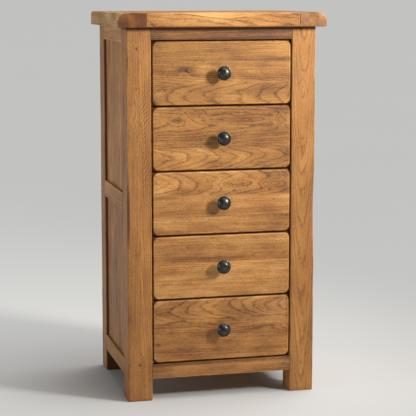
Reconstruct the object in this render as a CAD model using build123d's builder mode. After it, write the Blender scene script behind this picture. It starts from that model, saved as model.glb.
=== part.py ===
from build123d import *
import math
import os

# Tall chest of drawers in solid oak: five inset drawers in a frame-and-panel carcass on four legs.
# Millimetres. +Z is up, +X is to the right seen from the front, and the front faces -Y.
# The origin is on the floor, under the middle of the whole chest, knobs included.

os.makedirs("parts", exist_ok=True)

# Driving dimensions
height = 1100.0
carcass_width = 548.0
carcass_depth = 430.0
leg_size = 70.0
top_thickness = 40.0
top_side_overhang = 26.0
top_front_overhang = 22.0
end_board_width = 80.0  # the cross board at each end of the top
tongue_thickness = 12.0
tongue_length = 20.0
tongue_stop = 30.0  # the tongue stops short of the front and rear edges
top_arris = 3.0

rail_thickness = 22.0
tenon_thickness = 10.0
tenon_length = 25.0
tenon_shoulder = 8.0
side_top_rail_height = 42.0
side_mid_rail = (544.0, 592.0)
side_bottom_rail = (67.0, 112.0)
front_top_rail_height = 35.0
front_bottom_rail = (64.0, 105.5)
rear_bottom_rail = (64.0, 106.0)
rear_rail_setback = 4.0

panel_thickness = 10.0  # the same as the tenons, so one groove takes both
panel_recess = 8.0
groove_depth = 8.0
panel_play = 1.0  # room for the panel to swell in its groove
back_thickness = 8.0
back_board_count = 4
back_tongue = 3.0  # thickness of the tongue on a back board
back_tongue_length = 5.0
back_seam = 0.5  # between two boards, and round a tongue in its groove
back_bevel = 1.0

drawer_count = 5
drawer_gap = 3.5
drawer_side_gap = 3.0
drawer_setback = 1.0  # drawer faces behind the leg faces
front_thickness = 22.0
side_thickness = 16.0
drawer_rear_gap = 13.0  # between a drawer and the back boards
drawer_side_height = 146.0
drawer_side_lift = 12.0  # drawer sides above the lower edge of their front
drawer_back_thickness = 14.0
bottom_thickness = 6.0
bottom_lift = 8.0  # drawer bottom above the lower edge of the sides
bottom_housing = 5.5
bottom_play = 0.5
tail_length = 14.0
tail_angle = 8.0
pin_width = 7.0  # narrow end of the pins between the tails
front_tail_count = 4
rear_tail_count = 3

runner_thickness = 11.0
runner_height = 20.0
runner_play = 0.5
runner_groove_depth = 9.0
runner_front_gap = 5.0  # behind the drawer front's inner face

knob_radius = 20.5
knob_reach = 31.0
knob_neck_radius = 5.5
knob_base_radius = 8.5
knob_foot = 1.6  # height of the foot's edge
knob_rim_low = 19.0
knob_rim_high = 21.5
knob_rim_width = 1.6
knob_bore_radius = 2.1
knob_bore_depth = 14.0
screw_radius = 2.0
screw_bite = 10.0  # length of the screw inside the knob
screw_head_radius = 4.2
screw_head_height = 2.6
screw_clearance = 0.2
slot_length = 4.6  # cross recess in the screw heads
slot_width = 0.9
slot_depth = 1.4

runner_screw_length = 32.0
runner_screw_inset = 18.0  # screw from the end of the runner
screw_sink = 0.4  # heads below the runner's face

block_size = 28.0
arris = 2.0
foot_bevel = 4.0

# Levels and faces worked out from them
front_y = -(carcass_depth + knob_reach - drawer_setback) / 2 + knob_reach - drawer_setback
rear_y = front_y + carcass_depth
half_width = carcass_width / 2
inner_x = half_width - leg_size
rail_front_y = front_y + leg_size
rail_rear_y = rear_y - leg_size
under_top = height - top_thickness
groove_outer_x = half_width - panel_recess
groove_inner_x = groove_outer_x - panel_thickness
rear_rail_y = (rear_y - rear_rail_setback - rail_thickness, rear_y - rear_rail_setback)
back_middle_y = (rear_rail_y[0] + rear_rail_y[1]) / 2
back_y = (back_middle_y - back_thickness / 2, back_middle_y + back_thickness / 2)

opening_low = front_bottom_rail[1]
opening_high = under_top - front_top_rail_height
front_height = (opening_high - opening_low - (drawer_count + 1) * drawer_gap) / drawer_count
drawer_half_width = inner_x - drawer_side_gap
side_inner_x = drawer_half_width - side_thickness
drawer_face_y = front_y + drawer_setback
drawer_front_back_y = drawer_face_y + front_thickness
drawer_rear_y = back_y[0] - drawer_rear_gap
drawer_back_y = drawer_rear_y - drawer_back_thickness
runner_front_y = drawer_front_back_y + runner_front_gap
runner_rear_y = rear_rail_y[0] - 1.0
runner_inner_x = inner_x - runner_thickness


def span(a, b):
    # The two limits of a length, lower one first.
    return (min(a, b), max(a, b))


def block(x, y, z, mode=Mode.ADD):
    # A box between two limits along each axis.
    with Locations((x[0], y[0], z[0])):
        Box(x[1] - x[0], y[1] - y[0], z[1] - z[0], align=(Align.MIN, Align.MIN, Align.MIN), mode=mode)


def tail_row(x, root_y, tip_y, z, count, mode):
    # A row of dovetails on a drawer side, which widen from the root line to the tip line.
    pitch = (z[1] - z[0]) / count
    tip_width = pitch - pin_width
    root_width = tip_width - 2 * tail_length * math.tan(math.radians(tail_angle))
    with BuildSketch(Plane.YZ.offset(x[0])) as tails:
        for index in range(count):
            middle = z[0] + (index + 0.5) * pitch
            with BuildLine():
                Polyline(
                    (root_y, middle - root_width / 2),
                    (tip_y, middle - tip_width / 2),
                    (tip_y, middle + tip_width / 2),
                    (root_y, middle + root_width / 2),
                    close=True,
                )
            make_face()
    extrude(tails.sketch, amount=x[1] - x[0], mode=mode)


def drawer_low(index):
    # Lower edge of a drawer front. Drawer 1 is at the top.
    return opening_high - index * (front_height + drawer_gap)


def runner_middle(index):
    # Height of the runner, at the middle of the drawer's back.
    side_low = drawer_low(index) + drawer_side_lift
    back_low = side_low + bottom_lift + bottom_thickness
    return (back_low + side_low + drawer_side_height) / 2


runner_screw_ys = (runner_front_y + runner_screw_inset, runner_rear_y - runner_screw_inset)
drawers = range(1, drawer_count + 1)
sides = (("left", -1), ("right", 1))

# Legs, with mortises for the rails, grooves for the panels and pilot holes for the runner screws
for side_name, sign in sides:
    for end_name, end_y in (("front", front_y), ("rear", rear_y)):
        inward = 1 if end_name == "front" else -1
        rail_y = end_y + inward * leg_size
        groove_x = span(sign * groove_outer_x, sign * groove_inner_x)
        with BuildPart() as leg:
            block(span(sign * half_width, sign * inner_x), span(end_y, rail_y), (0, under_top))
            chamfer(leg.faces().sort_by(Axis.Z)[0].edges(), foot_bevel)
            chamfer(leg.edges().filter_by(Axis.Z), arris)
            # Side frame: one groove for the panels, and a deeper mortise for each rail's tenon
            block(
                groove_x,
                span(rail_y, rail_y - inward * groove_depth),
                (side_bottom_rail[0] + tenon_shoulder, under_top - tenon_shoulder),
                mode=Mode.SUBTRACT,
            )
            for low, high in (side_bottom_rail, side_mid_rail, (under_top - side_top_rail_height, under_top)):
                block(
                    groove_x,
                    span(rail_y, rail_y - inward * tenon_length),
                    (low + tenon_shoulder, high - tenon_shoulder),
                    mode=Mode.SUBTRACT,
                )
            # Front or rear frame: mortises, and at the rear the groove for the back boards
            if end_name == "front":
                mortise_middle = front_y + rail_thickness / 2
                cross_rails = (front_bottom_rail, (under_top - front_top_rail_height, under_top))
            else:
                mortise_middle = back_middle_y
                cross_rails = (rear_bottom_rail, (under_top - side_top_rail_height, under_top))
                block(
                    span(sign * inner_x, sign * (inner_x + groove_depth)),
                    back_y,
                    (rear_bottom_rail[0] + tenon_shoulder, under_top - tenon_shoulder),
                    mode=Mode.SUBTRACT,
                )
            for low, high in cross_rails:
                block(
                    span(sign * inner_x, sign * (inner_x + tenon_length)),
                    (mortise_middle - tenon_thickness / 2, mortise_middle + tenon_thickness / 2),
                    (low + tenon_shoulder, high - tenon_shoulder),
                    mode=Mode.SUBTRACT,
                )
            screw_y = runner_screw_ys[0] if end_name == "front" else runner_screw_ys[1]
            with BuildSketch(Plane.YZ.offset(sign * runner_inner_x)) as pilots:
                with Locations([(screw_y, runner_middle(index)) for index in drawers]):
                    Circle(screw_radius + screw_clearance)
            extrude(pilots.sketch, amount=sign * (runner_screw_length + 1), mode=Mode.SUBTRACT)
        leg.part.label = f"{end_name}_{side_name}_leg"
        export_step(leg.part, f"parts/{end_name}_{side_name}_leg.step")

# Side frames: three rails with stub tenons on each side, and two flat panels held in their grooves
side_rails = (
    ("top_rail", (under_top - side_top_rail_height, under_top), True, False),
    ("mid_rail", side_mid_rail, True, True),
    ("bottom_rail", side_bottom_rail, False, True),
)
side_panels = (
    ("upper_panel", (side_mid_rail[1], under_top - side_top_rail_height)),
    ("lower_panel", (side_bottom_rail[1], side_mid_rail[0])),
)
for side_name, sign in sides:
    groove_x = span(sign * groove_outer_x, sign * groove_inner_x)
    for rail_name, (low, high), groove_below, groove_above in side_rails:
        with BuildPart() as rail:
            block(
                span(sign * half_width, sign * (half_width - rail_thickness)),
                (rail_front_y, rail_rear_y),
                (low, high),
            )
            block(
                groove_x,
                (rail_front_y - tenon_length, rail_rear_y + tenon_length),
                (low + tenon_shoulder, high - tenon_shoulder),
            )
            if groove_below:
                block(groove_x, (rail_front_y, rail_rear_y), (low, low + groove_depth), mode=Mode.SUBTRACT)
            if groove_above:
                block(groove_x, (rail_front_y, rail_rear_y), (high - groove_depth, high), mode=Mode.SUBTRACT)
        rail.part.label = f"{side_name}_{rail_name}"
        export_step(rail.part, f"parts/{side_name}_{rail_name}.step")
    housed = groove_depth - panel_play
    for panel_name, (low, high) in side_panels:
        with BuildPart() as panel:
            block(groove_x, (rail_front_y - housed, rail_rear_y + housed), (low - housed, high + housed))
        panel.part.label = f"{side_name}_{panel_name}"
        export_step(panel.part, f"parts/{side_name}_{panel_name}.step")

# Front rails above and below the drawers, flush with the legs
front_rail_y = (front_y, front_y + rail_thickness)
for rail_name, (low, high) in (
    ("front_top_rail", (under_top - front_top_rail_height, under_top)),
    ("front_bottom_rail", front_bottom_rail),
):
    middle = (front_rail_y[0] + front_rail_y[1]) / 2
    with BuildPart() as rail:
        block((-inner_x, inner_x), front_rail_y, (low, high))
        block(
            (-inner_x - tenon_length, inner_x + tenon_length),
            (middle - tenon_thickness / 2, middle + tenon_thickness / 2),
            (low + tenon_shoulder, high - tenon_shoulder),
        )
    rail.part.label = rail_name
    export_step(rail.part, f"parts/{rail_name}.step")

# Rear rails, grooved for the back boards
for rail_name, (low, high), groove_z in (
    ("rear_top_rail", (under_top - side_top_rail_height, under_top), "below"),
    ("rear_bottom_rail", rear_bottom_rail, "above"),
):
    groove = (low, low + groove_depth) if groove_z == "below" else (high - groove_depth, high)
    with BuildPart() as rail:
        block((-inner_x, inner_x), rear_rail_y, (low, high))
        block(
            (-inner_x - tenon_length, inner_x + tenon_length),
            (back_middle_y - tenon_thickness / 2, back_middle_y + tenon_thickness / 2),
            (low + tenon_shoulder, high - tenon_shoulder),
        )
        block((-inner_x, inner_x), back_y, groove, mode=Mode.SUBTRACT)
    rail.part.label = rail_name
    export_step(rail.part, f"parts/{rail_name}.step")

# Back: upright boards, each with a tongue on its right edge that fits the next board's groove
back_housed = groove_depth - panel_play
back_half_width = inner_x + back_housed
back_board_width = 2 * back_half_width / back_board_count
back_z = (rear_bottom_rail[1] - back_housed, under_top - side_top_rail_height + back_housed)
back_lefts = [-back_half_width + index * back_board_width for index in range(back_board_count)]
with BuildPart() as back_boards:
    for left in back_lefts:
        block((left, left + back_board_width - back_seam), back_y, back_z)
    chamfer(back_boards.edges().filter_by(Axis.Z), back_bevel)
    for left in back_lefts[1:]:
        groove_y = (back_middle_y - back_tongue / 2 - back_seam, back_middle_y + back_tongue / 2 + back_seam)
        block((left, left + back_tongue_length + back_seam), groove_y, back_z, mode=Mode.SUBTRACT)
    for left in back_lefts[1:]:
        tongue_y = (back_middle_y - back_tongue / 2, back_middle_y + back_tongue / 2)
        block((left - back_seam, left + back_tongue_length), tongue_y, back_z)
back_boards.part.label = "back_boards"
export_step(back_boards.part, "parts/back_boards.step")

# Top: a field with its grain along X, tongued into a cross board at each end
top_half_width = half_width + top_side_overhang
top_y = (front_y - top_front_overhang, rear_y)
field_half_width = top_half_width - end_board_width
tongue_y = (top_y[0] + tongue_stop, top_y[1] - tongue_stop)
tongue_middle = under_top + top_thickness / 2
tongue_z = (tongue_middle - tongue_thickness / 2, tongue_middle + tongue_thickness / 2)
with BuildPart() as top_field:
    block((-field_half_width, field_half_width), top_y, (under_top, height))
    chamfer(top_field.edges().filter_by(Axis.X), top_arris)
    block((-field_half_width - tongue_length, field_half_width + tongue_length), tongue_y, tongue_z)
top_field.part.label = "top_field"
export_step(top_field.part, "parts/top_field.step")

for side_name, sign in sides:
    with BuildPart() as end_board:
        block(span(sign * field_half_width, sign * top_half_width), top_y, (under_top, height))
        outer_face = end_board.faces().sort_by(Axis.X)[0 if sign < 0 else -1]
        chamfer(end_board.edges().filter_by(Axis.X) + outer_face.edges(), top_arris)
        block(
            span(sign * field_half_width, sign * (field_half_width + tongue_length)),
            tongue_y,
            tongue_z,
            mode=Mode.SUBTRACT,
        )
    end_board.part.label = f"top_{side_name}_end"
    export_step(end_board.part, f"parts/top_{side_name}_end.step")

# Glue blocks in the angle between the top and its rails
block_z = (under_top - block_size, under_top)
front_blocks_y = (front_rail_y[1], front_rail_y[1] + block_size)
rear_blocks_y = (rear_rail_y[0] - block_size, rear_rail_y[0])
side_block_x = half_width - rail_thickness
with BuildPart() as top_blocks:
    for middle in (-inner_x / 2, inner_x / 2):
        block((middle - block_size / 2, middle + block_size / 2), front_blocks_y, block_z)
        block((middle - block_size / 2, middle + block_size / 2), rear_blocks_y, block_z)
    for side_name, sign in sides:
        side_middle = (front_y + rear_y) / 2
        block(
            span(sign * side_block_x, sign * (side_block_x - block_size)),
            (side_middle - block_size / 2, side_middle + block_size / 2),
            block_z,
        )
top_blocks.part.label = "top_blocks"
export_step(top_blocks.part, "parts/top_blocks.step")

# Drawer runners: a batten on each side of each drawer, screwed to the front and rear legs
screw_places = [
    Location(
        Plane(origin=(sign * runner_inner_x, y, runner_middle(index)), x_dir=(0, 1, 0), z_dir=(-sign, 0, 0))
    )
    for index in drawers
    for _, sign in sides
    for y in runner_screw_ys
]
with BuildPart() as drawer_runners:
    for index in drawers:
        middle = runner_middle(index)
        for side_name, sign in sides:
            block(
                span(sign * runner_inner_x, sign * inner_x),
                (runner_front_y, runner_rear_y),
                (middle - runner_height / 2, middle + runner_height / 2),
            )
    with Locations(screw_places):
        CounterSinkHole(
            screw_radius + screw_clearance,
            screw_head_radius + screw_clearance + screw_sink,
            depth=runner_thickness,
            counter_sink_angle=90,
        )
drawer_runners.part.label = "drawer_runners"
export_step(drawer_runners.part, "parts/drawer_runners.step")

with BuildPart() as runner_screws:
    with Locations([place * Location((0, 0, -screw_sink)) for place in screw_places]):
        Cylinder(
            screw_radius, runner_screw_length, align=(Align.CENTER, Align.CENTER, Align.MAX)
        )
        Cone(
            screw_radius,
            screw_head_radius,
            screw_head_radius - screw_radius,
            align=(Align.CENTER, Align.CENTER, Align.MAX),
        )
        for turn in (0, 90):
            Box(
                slot_length,
                slot_width,
                slot_depth,
                rotation=(0, 0, turn),
                align=(Align.CENTER, Align.CENTER, Align.MAX),
                mode=Mode.SUBTRACT,
            )
runner_screws.part.label = "runner_screws"
export_step(runner_screws.part, "parts/runner_screws.step")

# Drawers: half-blind dovetails at the front, through dovetails at the back, and a bottom that slides in
# under the back. The sides are grooved outside for the runners, and the groove's blind end is the stop.
for index in drawers:
    low = drawer_low(index)
    high = low + front_height
    side_low = low + drawer_side_lift
    side_z = (side_low, side_low + drawer_side_height)
    bottom_z = (side_low + bottom_lift, side_low + bottom_lift + bottom_thickness)
    drawer_back_z = (bottom_z[1], side_z[1])
    tail_tip_y = drawer_front_back_y - tail_length
    knob_z = (low + high) / 2
    runner_groove_z = (
        runner_middle(index) - runner_height / 2 - runner_play,
        runner_middle(index) + runner_height / 2 + runner_play,
    )

    with BuildPart() as front:
        block((-drawer_half_width, drawer_half_width), (drawer_face_y, drawer_front_back_y), (low, high))
        chamfer(front.faces().sort_by(Axis.Y)[0].edges(), arris)
        for side_name, sign in sides:
            side_x = span(sign * side_inner_x, sign * drawer_half_width)
            tail_row(side_x, drawer_front_back_y, tail_tip_y, side_z, front_tail_count, Mode.SUBTRACT)
        block(
            (-side_inner_x, side_inner_x),
            (drawer_front_back_y - bottom_housing, drawer_front_back_y),
            bottom_z,
            mode=Mode.SUBTRACT,
        )
        with Locations(Location(Plane(origin=(0, drawer_front_back_y, knob_z), z_dir=(0, 1, 0)))):
            Hole(screw_radius + screw_clearance, depth=front_thickness)
    front.part.label = f"drawer_{index}_front"
    export_step(front.part, f"parts/drawer_{index}_front.step")

    for side_name, sign in sides:
        side_x = span(sign * side_inner_x, sign * drawer_half_width)
        with BuildPart() as side:
            block(side_x, (drawer_front_back_y, drawer_back_y), side_z)
            block(side_x, (drawer_back_y, drawer_rear_y), (side_z[0], drawer_back_z[0]))
            tail_row(side_x, drawer_front_back_y, tail_tip_y, side_z, front_tail_count, Mode.ADD)
            tail_row(side_x, drawer_back_y, drawer_rear_y, drawer_back_z, rear_tail_count, Mode.ADD)
            block(
                span(sign * (drawer_half_width - runner_groove_depth), sign * drawer_half_width),
                (runner_front_y - runner_play, drawer_rear_y),
                runner_groove_z,
                mode=Mode.SUBTRACT,
            )
            block(
                span(sign * side_inner_x, sign * (side_inner_x + bottom_housing)),
                (drawer_front_back_y, drawer_rear_y),
                bottom_z,
                mode=Mode.SUBTRACT,
            )
        side.part.label = f"drawer_{index}_{side_name}_side"
        export_step(side.part, f"parts/drawer_{index}_{side_name}_side.step")

    with BuildPart() as back:
        block((-drawer_half_width, drawer_half_width), (drawer_back_y, drawer_rear_y), drawer_back_z)
        for side_name, sign in sides:
            side_x = span(sign * side_inner_x, sign * drawer_half_width)
            tail_row(side_x, drawer_back_y, drawer_rear_y, drawer_back_z, rear_tail_count, Mode.SUBTRACT)
    back.part.label = f"drawer_{index}_back"
    export_step(back.part, f"parts/drawer_{index}_back.step")

    bottom_half_width = side_inner_x + bottom_housing - bottom_play
    with BuildPart() as bottom:
        block((-bottom_half_width, bottom_half_width), (drawer_front_back_y, drawer_rear_y), bottom_z)
        block(
            (-side_inner_x + bottom_play, side_inner_x - bottom_play),
            (drawer_front_back_y - bottom_housing + bottom_play, drawer_front_back_y),
            bottom_z,
        )
    bottom.part.label = f"drawer_{index}_bottom"
    export_step(bottom.part, f"parts/drawer_{index}_bottom.step")

    # Knob: a turned foot and neck under a rimmed disc with a domed face. Its profile runs outwards from
    # the drawer's face along its own +Y, which is the chest's -Y.
    knob_plane = Plane(origin=(0, drawer_face_y, knob_z), x_dir=(1, 0, 0), z_dir=(0, 0, -1))
    with BuildPart() as knob:
        with BuildSketch(knob_plane) as knob_profile:
            with BuildLine():
                Polyline((0, 0), (knob_base_radius, 0), (knob_base_radius, knob_foot))
                ThreePointArc(
                    (knob_base_radius, knob_foot),
                    (knob_neck_radius, (knob_foot + knob_rim_low) / 2),
                    (knob_base_radius + knob_foot, knob_rim_low - knob_foot),
                )
                Polyline(
                    (knob_base_radius + knob_foot, knob_rim_low - knob_foot),
                    (knob_radius - knob_rim_width, knob_rim_low),
                    (knob_radius, knob_rim_low + knob_rim_width / 2),
                    (knob_radius, knob_rim_high),
                    (knob_radius - knob_rim_width, knob_rim_high + knob_rim_width / 2),
                )
                TangentArc(
                    (0, knob_reach),
                    (knob_radius - knob_rim_width, knob_rim_high + knob_rim_width / 2),
                    tangent=(1, 0),
                )
                Line((0, knob_reach), (0, 0))
            make_face()
        revolve(axis=Axis((0, drawer_face_y, knob_z), (0, -1, 0)))
        with Locations(Location(Plane(origin=(0, drawer_face_y, knob_z), z_dir=(0, 1, 0)))):
            Hole(knob_bore_radius, depth=knob_bore_depth)
    knob.part.label = f"drawer_{index}_knob"
    export_step(knob.part, f"parts/drawer_{index}_knob.step")

    with BuildPart() as screw:
        with BuildSketch(Plane.XZ.offset(-drawer_front_back_y)) as shank:
            with Locations((0, knob_z)):
                Circle(screw_radius)
        extrude(shank.sketch, amount=front_thickness + screw_bite)
        with BuildSketch(Plane.XZ.offset(-drawer_front_back_y)) as head:
            with Locations((0, knob_z)):
                Circle(screw_head_radius)
        extrude(head.sketch, amount=-screw_head_height)
        fillet(screw.faces().sort_by(Axis.Y)[-1].edges(), screw_head_height / 3)
        with BuildSketch(Plane.XZ.offset(-drawer_front_back_y - screw_head_height)) as slots:
            with Locations((0, knob_z)):
                Rectangle(slot_length, slot_width)
                Rectangle(slot_width, slot_length)
        extrude(slots.sketch, amount=slot_depth, mode=Mode.SUBTRACT)
    screw.part.label = f"drawer_{index}_knob_screw"
    export_step(screw.part, f"parts/drawer_{index}_knob_screw.step")
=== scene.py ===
import math
import bmesh
import bpy
from mathutils import Matrix, Vector


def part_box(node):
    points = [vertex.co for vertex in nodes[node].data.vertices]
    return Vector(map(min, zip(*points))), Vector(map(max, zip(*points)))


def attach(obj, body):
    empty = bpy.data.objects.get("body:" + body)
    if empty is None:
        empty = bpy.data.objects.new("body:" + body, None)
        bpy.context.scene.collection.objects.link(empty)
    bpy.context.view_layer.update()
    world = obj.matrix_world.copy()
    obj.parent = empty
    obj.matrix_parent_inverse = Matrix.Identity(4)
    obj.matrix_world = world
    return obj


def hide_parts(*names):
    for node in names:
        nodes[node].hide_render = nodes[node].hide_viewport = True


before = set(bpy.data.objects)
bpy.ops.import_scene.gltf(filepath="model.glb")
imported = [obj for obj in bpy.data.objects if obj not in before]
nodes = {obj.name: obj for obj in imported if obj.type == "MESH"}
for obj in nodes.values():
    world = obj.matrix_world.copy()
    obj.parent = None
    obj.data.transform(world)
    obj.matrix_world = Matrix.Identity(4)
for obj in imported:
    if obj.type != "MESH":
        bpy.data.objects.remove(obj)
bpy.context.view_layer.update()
scene = bpy.context.scene
mm = 0.001


# node helpers: sums are written as plain arithmetic, every other node comes from Recipe.node
class Wire:
    # one output of a node that can be added, scaled and compared
    def __init__(self, recipe, socket):
        self.recipe = recipe
        self.socket = socket

    def __add__(self, other):
        return self.recipe.maths("ADD", self, other)

    def __sub__(self, other):
        return self.recipe.maths("SUBTRACT", self, other)

    def __rsub__(self, other):
        return self.recipe.maths("SUBTRACT", other, self)

    def __mul__(self, other):
        return self.recipe.maths("MULTIPLY", self, other)

    def __truediv__(self, other):
        return self.recipe.maths("DIVIDE", self, other)

    def __neg__(self):
        return self.recipe.maths("MULTIPLY", self, -1.0)

    __radd__ = __add__
    __rmul__ = __mul__


class Recipe:
    # a node tree that is filled from Python
    def __init__(self, tree):
        self.tree = tree

    def node(self, kind, settings=None, values=None, out=0):
        made = self.tree.nodes.new(kind)
        for key, value in (settings or {}).items():
            if key == "stops":
                ramp = made.color_ramp
                while len(ramp.elements) < len(value):
                    ramp.elements.new(0.5)
                for element, (place, colour) in zip(ramp.elements, value):
                    element.position = place
                    element.color = (*colour, 1.0)
            else:
                setattr(made, key, value)
        for key, value in (values or {}).items():
            if isinstance(value, Wire):
                self.tree.links.new(value.socket, made.inputs[key])
            else:
                made.inputs[key].default_value = value
        return Wire(self, made.outputs[out]) if made.outputs else made

    def maths(self, operation, *values):
        return self.node("ShaderNodeMath", {"operation": operation}, dict(enumerate(values)))

    def step(self, value, low, high, fromValue=0.0, toValue=1.0):
        # eases from one value to the other while the input goes from low to high
        return self.node(
            "ShaderNodeMapRange",
            {"interpolation_type": "SMOOTHSTEP"},
            {"Value": value, "From Min": low, "From Max": high, "To Min": fromValue, "To Max": toValue},
        )

    def mix(self, share, first, second, blend="MIX"):
        return self.node(
            "ShaderNodeMix",
            {"data_type": "RGBA", "blend_type": blend},
            {0: share, 6: first, 7: second},
            out=2,
        )

    def noise(self, place, size, detail=2.0, rough=0.5, seed=0.0, out=0):
        # size is the length of one blotch along each local axis, in the units of place
        scaled = self.node(
            "ShaderNodeVectorMath",
            {"operation": "MULTIPLY_ADD"},
            {0: place, 1: tuple(1.0 / s for s in size), 2: (seed, seed * 0.37, -seed * 0.61)},
        )
        return self.node(
            "ShaderNodeTexNoise",
            {"noise_dimensions": "3D"},
            {"Vector": scaled, "Scale": 1.0, "Detail": detail, "Roughness": rough},
            out=out,
        )


def newMaterial(name):
    material = bpy.data.materials.new(name)
    material.use_nodes = True
    material.node_tree.nodes.clear()
    return material, Recipe(material.node_tree)


def finishMaterial(recipe, values):
    surface = recipe.node("ShaderNodeBsdfPrincipled", values=values)
    recipe.node("ShaderNodeOutputMaterial", values={"Surface": surface})


def rgb(red, green, blue):
    # a screen colour, 0 to 255, turned into the linear colour that a shader wants
    parts = [c / 255 for c in (red, green, blue)]
    return tuple(c / 12.92 if c < 0.04045 else ((c + 0.055) / 1.055) ** 2.4 for c in parts)


# oak: growth rings round a pith that lies behind the face, so every side of a board agrees
# along, up: unit axes of the grain and of the direction that rises across the face
grainTurns = {
    "front": ((1, 0, 0), (0, 0, 1)),  # rails and drawer fronts: grain left to right, seen from the front
    "leg": ((0, 0, 1), (-1, 0, 0)),  # upright posts, seen from the front
    "side": ((0, 1, 0), (0, 0, 1)),  # rails along the sides
    "panel": ((0, 0, 1), (0, 1, 0)),  # upright boards, seen from the side
    "top": ((1, 0, 0), (0, 1, 0)),
    "topEnd": ((0, 1, 0), (-1, 0, 0)),
    "back": ((0, 0, 1), (1, 0, 0)),
}


def stave(pithUp, pithDeep, cone, ring, tone):
    # one stave of a board: how far the tree's heart is off its middle line and behind its face, in mm, how fast the
    # rings open along the grain (the sign says which way the arches point), the ring width in mm, and its own tone
    return {"pithUp": pithUp, "pithDeep": pithDeep, "cone": cone, "ring": ring, "tone": tone}


def glued(seed, joints, *staves, **rest):
    # a board of staves, counted from the top, with the joints between them as shares of its height
    return {"seed": seed, "joints": joints, "staves": staves, **rest}


oakLook = {
    "darkest": (0.090, 0.030, 0.006),
    "dark": (0.235, 0.090, 0.018),
    "middle": (0.425, 0.190, 0.045),
    "light": (0.670, 0.372, 0.125),
    "ringDepth": 0.31,  # how much darker the thin line of open spring wood is
    "ringVariety": 0.13,  # how much one ring's tone differs from the next
    "streaks": 0.30,
    "mottle": 0.66,
    "pores": 0.30,
    "waves": 5.0,  # how far the rings wander, in mm
    "ripples": 1.5,
    "roughness": 0.52,
    "coat": 0.08,
    "coatRoughness": 0.40,
    "bump": 0.35,
    "dullUp": 0.0,  # how much rougher an upward face has become with use
    "tone": 0.0,
    "tint": (1.0, 1.0, 1.0),
    # lighter arrises: partly rubbed wear, partly painted highlight where edges catch the light
    "wearAndHighlight": 0.20,
    "wearAndHighlightInset": 0.0,  # how far in from the board's own edge the rubbed arris and its painted highlight lie, in mm
    "paintedGapShade": 0.0,  # painted shade on the carved border and sides behind the face, where the gaps round a drawer front lie in shadow
    "cutDark": 0.0,  # darkens a carved facet, partly as stained wood and partly as painted shade; a negative amount lightens it as painted light
    "stainedFace": None,  # (direction, amount): painted shade on the faces that point this way
    "endDark": 0.34,
    "endTint": (0.96, 0.80, 0.66),
    "seed": 0.0,
    "staves": (stave(-70, 45, 0.02, 3.2, 0.0),),
    "grit": 0.36,  # unevenness a few mm across
    "flecks": 0.24,  # short dark dashes scattered over the face
    "flames": (),  # (share from the left, share from the top, half length mm, half height mm, pitch mm, lean, strength)
    "cracks": (),  # (share from the left, share from the top, half length mm, half width mm, lean in degrees, darkness)
    "joints": (),  # where one stave ends and the next begins, as a share from the top of the face
    "knots": (),  # (share from the left, share from the top, radius mm, darkness 0 to 1, ring swirl mm)
    "eyes": (),  # (share from the left, share from the top, length mm, height mm, ring swirl mm)
    "streakMarks": (),  # (share from the left, share from the top, length mm, height mm, darkness): dark streaks in the wood, and painted shadows; a negative darkness paints light
}


# the oak's noises: size of one blotch along and across the grain in mm, detail, roughness, seed offset
grainNoises = {
    "wander": ((210, 60, 60), 1.5, 0.45, 3.1),
    "waver": ((46, 15, 15), 2.0, 0.5, 7.7),
    "fine": ((26, 0.55, 0.55), 2.0, 0.6, 11.0),
    "grit": ((6.5, 2.2, 2.2), 1.0, 0.5, 61.0),
    "pores": ((7.0, 0.42, 0.42), 1.0, 0.5, 17.0),
    "dashes": ((13.0, 0.95, 0.95), 2.0, 0.6, 19.0),
    "flecks": ((9.0, 2.7, 2.7), 2.0, 0.6, 53.0),
    "streak": ((76, 3.2, 3.2), 2.5, 0.6, 23.0),
    "patch": ((85, 34, 34), 3.0, 0.55, 29.0),
    "wide": ((260, 90, 90), 1.0, 0.5, 37.0),
    "crackEdge": ((6, 4, 4), 2.0, 0.6, 5.9),
    "rayEdge": ((20, 9, 9), 2.0, 0.5, 59.0),
    "rub": ((34, 22, 22), 3.0, 0.65, 41.0),
    "hue": ((150, 55, 55), 1.0, 0.5, 47.0),
}
plainTone = 0.56  # the place of oak's middle colour on its ramp, from darkest 0 to lightest 1
inkDark = (0.030, 0.013, 0.007, 1.0)  # the heart of a knot or crack
glueDark = (0.07, 0.03, 0.012, 1.0)
redder = (1.0, 0.88, 0.78, 1.0)


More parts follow.
